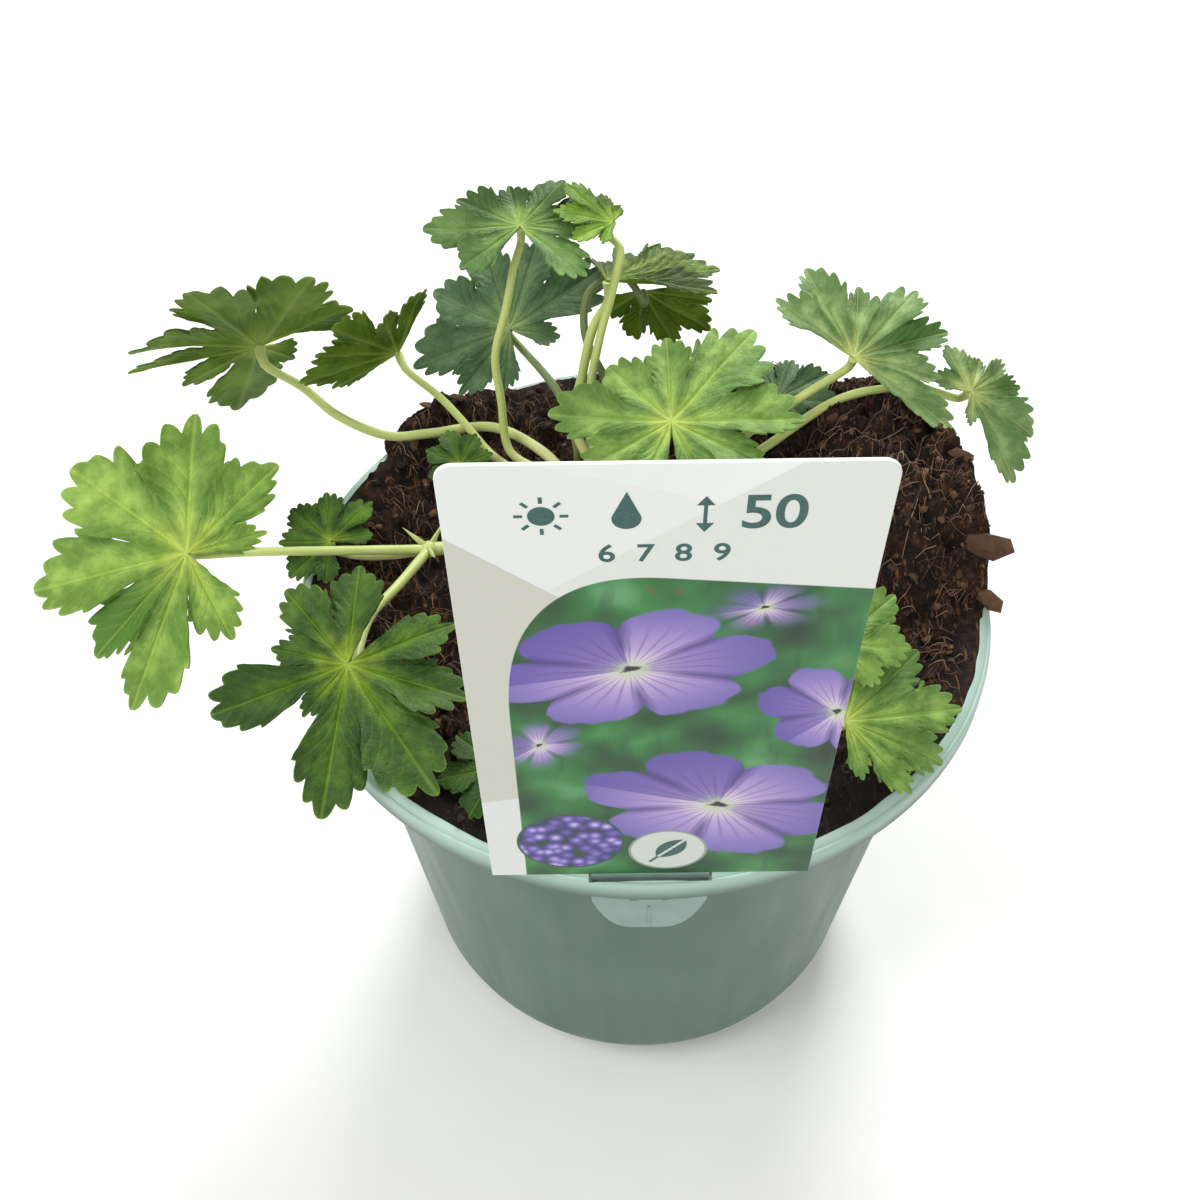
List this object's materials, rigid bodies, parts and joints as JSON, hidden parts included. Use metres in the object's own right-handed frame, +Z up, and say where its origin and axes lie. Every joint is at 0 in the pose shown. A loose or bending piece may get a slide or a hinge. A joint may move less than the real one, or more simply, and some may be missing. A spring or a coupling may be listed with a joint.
{
  "type": "potted hardy geranium",
  "caption": "Young hardy geranium: lobed, toothed leaves on slender stalks, in compost in a round tapered nursery pot, with an upright plant label slotted into the rim.",
  "frame": {"origin": "centre of the pot's base, on the ground", "axes": "+Z up; the label stands at the front, at -Y; +X to the right as seen from the front"},
  "size_m": [0.268, 0.191, 0.2732],
  "materials": {
    "pot": "satin moulded",
    "compost": "moist, fibrous",
    "label": "printed, satin",
    "rootstock": "rough, scaly",
    "stalk": "soft, finely hairy",
    "leaf": "matte, finely hairy"
  },
  "bodies": {
    "root": {"pot": "pot", "compost": "compost", "plant_label": "label", "rootstock": "rootstock", "stem_sprawling": "stalk", "stalk_back_left": "stalk", "stalk_folded_left": "stalk", "stalk_top": "stalk", "stalk_top_small": "stalk", "stalk_dark_back": "stalk", "stalk_level_back": "stalk", "stalk_hanging_back": "stalk", "stalk_centre_back": "stalk", "stalk_low_right": "stalk", "stalk_right": "stalk", "stalk_far_right": "stalk", "stalk_front_right": "stalk", "stalk_mid_right": "stalk", "stalk_young_left": "stalk", "stalk_low_front": "stalk", "stalk_inner_left": "stalk", "stalk_inner_right": "stalk", "stalk_inner_front": "stalk", "leaf_far_left": "leaf", "leaf_front_left": "leaf", "leaf_small_left": "leaf", "leaf_back_left": "leaf", "leaf_folded_left": "leaf", "leaf_top": "leaf", "leaf_top_small": "leaf", "leaf_dark_back": "leaf", "leaf_level_back": "leaf", "leaf_hanging_back": "leaf", "leaf_centre_back": "leaf", "leaf_low_right": "leaf", "leaf_right": "leaf", "leaf_far_right": "leaf", "leaf_front_right": "leaf", "leaf_mid_right": "leaf", "leaf_young_left": "leaf", "leaf_low_front": "leaf", "leaf_inner_left": "leaf", "leaf_inner_right": "leaf", "leaf_inner_front": "leaf"}
  },
  "joints": []
}
